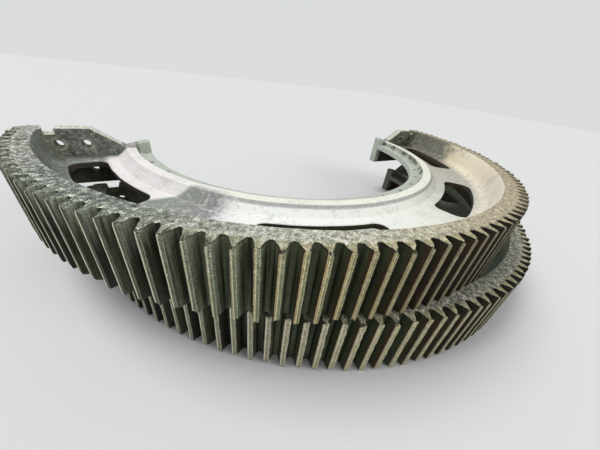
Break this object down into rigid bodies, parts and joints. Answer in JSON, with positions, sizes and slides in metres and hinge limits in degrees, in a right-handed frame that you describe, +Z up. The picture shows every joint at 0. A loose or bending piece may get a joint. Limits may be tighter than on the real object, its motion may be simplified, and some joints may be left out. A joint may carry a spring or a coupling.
{
  "type": "ball mill girth gear",
  "caption": "Large split spur girth gear for a ball mill, dismantled: cast half rings with web openings and bolting flanges, the upper half lying on the lower.",
  "frame": {"origin": "middle of the ground under the two stacked halves", "axes": "+Z up along both gear axes; X runs along the split faces; the cast bodies lie towards -Y of the split faces"},
  "size_m": [4.6034, 2.2858, 0.84],
  "materials": {
    "lower_casting": "weathered paint, grease and rust",
    "upper_casting": "weathered pale paint, grease and rust"
  },
  "bodies": {
    "root": {"lower_half": "lower_casting", "upper_half": "upper_casting"}
  },
  "joints": []
}
